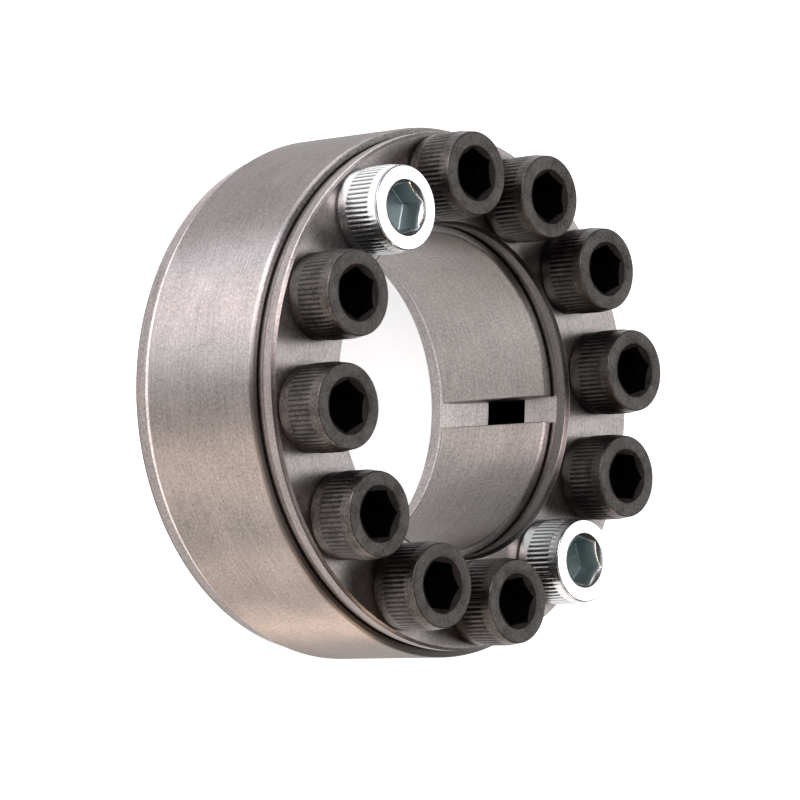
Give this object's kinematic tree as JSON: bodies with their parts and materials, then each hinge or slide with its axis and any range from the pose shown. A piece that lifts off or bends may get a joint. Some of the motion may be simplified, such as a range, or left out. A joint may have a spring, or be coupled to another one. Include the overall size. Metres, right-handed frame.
{
  "type": "shaft locking assembly",
  "caption": "Keyless hub-to-shaft clamping bush: slit inner and outer rings, two tapered thrust rings and a circle of socket head screws.",
  "frame": {"origin": "centre of the rear thrust ring's end face, the lowest plane of the assembly", "axes": "+Z along the ring axis towards the screw heads; +Y towards the first jack hole screw"},
  "size_m": [0.06, 0.06, 0.0279],
  "materials": {
    "turned_steel": "fine turned and lightly oiled",
    "black_oxide_steel": "black oxide, satin",
    "zinc_plated_steel": "bright zinc plate"
  },
  "bodies": {
    "rear_thrust_ring": {"rear_thrust_ring": "turned_steel"},
    "front_thrust_ring": {"front_thrust_ring": "turned_steel"},
    "outer_ring": {"outer_ring": "turned_steel"},
    "inner_ring": {"inner_ring": "turned_steel"},
    "jack_hole_screw_1": {"jack_hole_screw_1": "zinc_plated_steel"},
    "locking_screw_01": {"locking_screw_01": "black_oxide_steel"},
    "locking_screw_02": {"locking_screw_02": "black_oxide_steel"},
    "locking_screw_03": {"locking_screw_03": "black_oxide_steel"},
    "locking_screw_04": {"locking_screw_04": "black_oxide_steel"},
    "locking_screw_05": {"locking_screw_05": "black_oxide_steel"},
    "jack_hole_screw_2": {"jack_hole_screw_2": "zinc_plated_steel"},
    "locking_screw_06": {"locking_screw_06": "black_oxide_steel"},
    "locking_screw_07": {"locking_screw_07": "black_oxide_steel"},
    "locking_screw_08": {"locking_screw_08": "black_oxide_steel"},
    "locking_screw_09": {"locking_screw_09": "black_oxide_steel"},
    "locking_screw_10": {"locking_screw_10": "black_oxide_steel"}
  },
  "joints": [
    {"name": "front_ring_draw", "type": "slide", "parent": "rear_thrust_ring", "child": "front_thrust_ring", "axis": [0, 0, -1], "range_m": [-0.001, 0.0011]},
    {"name": "outer_ring_draw", "type": "slide", "parent": "rear_thrust_ring", "child": "outer_ring", "axis": [0, 0, -1], "range_m": [-0.00051, 0.00056]},
    {"name": "inner_ring_draw", "type": "slide", "parent": "rear_thrust_ring", "child": "inner_ring", "axis": [0, 0, -1], "range_m": [-0.00051, 0.00056]},
    {"name": "jack_hole_screw_1_turn", "type": "hinge", "parent": "front_thrust_ring", "child": "jack_hole_screw_1", "pos_m": [0, 0.024, 0.0219], "axis": [0, 0, -1], "range_deg": [-363, 399]},
    {"name": "locking_screw_01_turn", "type": "hinge", "parent": "front_thrust_ring", "child": "locking_screw_01", "pos_m": [0.012, 0.02079, 0.0219], "axis": [0, 0, -1], "range_deg": [-363, 399]},
    {"name": "locking_screw_02_turn", "type": "hinge", "parent": "front_thrust_ring", "child": "locking_screw_02", "pos_m": [0.02079, 0.012, 0.0219], "axis": [0, 0, -1], "range_deg": [-363, 399]},
    {"name": "locking_screw_03_turn", "type": "hinge", "parent": "front_thrust_ring", "child": "locking_screw_03", "pos_m": [0.024, 0, 0.0219], "axis": [0, 0, -1], "range_deg": [-363, 399]},
    {"name": "locking_screw_04_turn", "type": "hinge", "parent": "front_thrust_ring", "child": "locking_screw_04", "pos_m": [0.02079, -0.012, 0.0219], "axis": [0, 0, -1], "range_deg": [-363, 399]},
    {"name": "locking_screw_05_turn", "type": "hinge", "parent": "front_thrust_ring", "child": "locking_screw_05", "pos_m": [0.012, -0.02079, 0.0219], "axis": [0, 0, -1], "range_deg": [-363, 399]},
    {"name": "jack_hole_screw_2_turn", "type": "hinge", "parent": "front_thrust_ring", "child": "jack_hole_screw_2", "pos_m": [0, -0.024, 0.0219], "axis": [0, 0, -1], "range_deg": [-363, 399]},
    {"name": "locking_screw_06_turn", "type": "hinge", "parent": "front_thrust_ring", "child": "locking_screw_06", "pos_m": [-0.012, -0.02079, 0.0219], "axis": [0, 0, -1], "range_deg": [-363, 399]},
    {"name": "locking_screw_07_turn", "type": "hinge", "parent": "front_thrust_ring", "child": "locking_screw_07", "pos_m": [-0.02079, -0.012, 0.0219], "axis": [0, 0, -1], "range_deg": [-363, 399]},
    {"name": "locking_screw_08_turn", "type": "hinge", "parent": "front_thrust_ring", "child": "locking_screw_08", "pos_m": [-0.024, 0, 0.0219], "axis": [0, 0, -1], "range_deg": [-363, 399]},
    {"name": "locking_screw_09_turn", "type": "hinge", "parent": "front_thrust_ring", "child": "locking_screw_09", "pos_m": [-0.02079, 0.012, 0.0219], "axis": [0, 0, -1], "range_deg": [-363, 399]},
    {"name": "locking_screw_10_turn", "type": "hinge", "parent": "front_thrust_ring", "child": "locking_screw_10", "pos_m": [-0.012, 0.02079, 0.0219], "axis": [0, 0, -1], "range_deg": [-363, 399]}
  ],
  "couplings": [
    {"joint": "outer_ring_draw", "follows": "front_ring_draw", "ratio": 0.5},
    {"joint": "inner_ring_draw", "follows": "front_ring_draw", "ratio": 0.5},
    {"joint": "jack_hole_screw_1_turn", "follows": "front_ring_draw", "rad_per_m": 6283.2},
    {"joint": "locking_screw_01_turn", "follows": "front_ring_draw", "rad_per_m": 6283.2},
    {"joint": "locking_screw_02_turn", "follows": "front_ring_draw", "rad_per_m": 6283.2},
    {"joint": "locking_screw_03_turn", "follows": "front_ring_draw", "rad_per_m": 6283.2},
    {"joint": "locking_screw_04_turn", "follows": "front_ring_draw", "rad_per_m": 6283.2},
    {"joint": "locking_screw_05_turn", "follows": "front_ring_draw", "rad_per_m": 6283.2},
    {"joint": "jack_hole_screw_2_turn", "follows": "front_ring_draw", "rad_per_m": 6283.2},
    {"joint": "locking_screw_06_turn", "follows": "front_ring_draw", "rad_per_m": 6283.2},
    {"joint": "locking_screw_07_turn", "follows": "front_ring_draw", "rad_per_m": 6283.2},
    {"joint": "locking_screw_08_turn", "follows": "front_ring_draw", "rad_per_m": 6283.2},
    {"joint": "locking_screw_09_turn", "follows": "front_ring_draw", "rad_per_m": 6283.2},
    {"joint": "locking_screw_10_turn", "follows": "front_ring_draw", "rad_per_m": 6283.2}
  ]
}
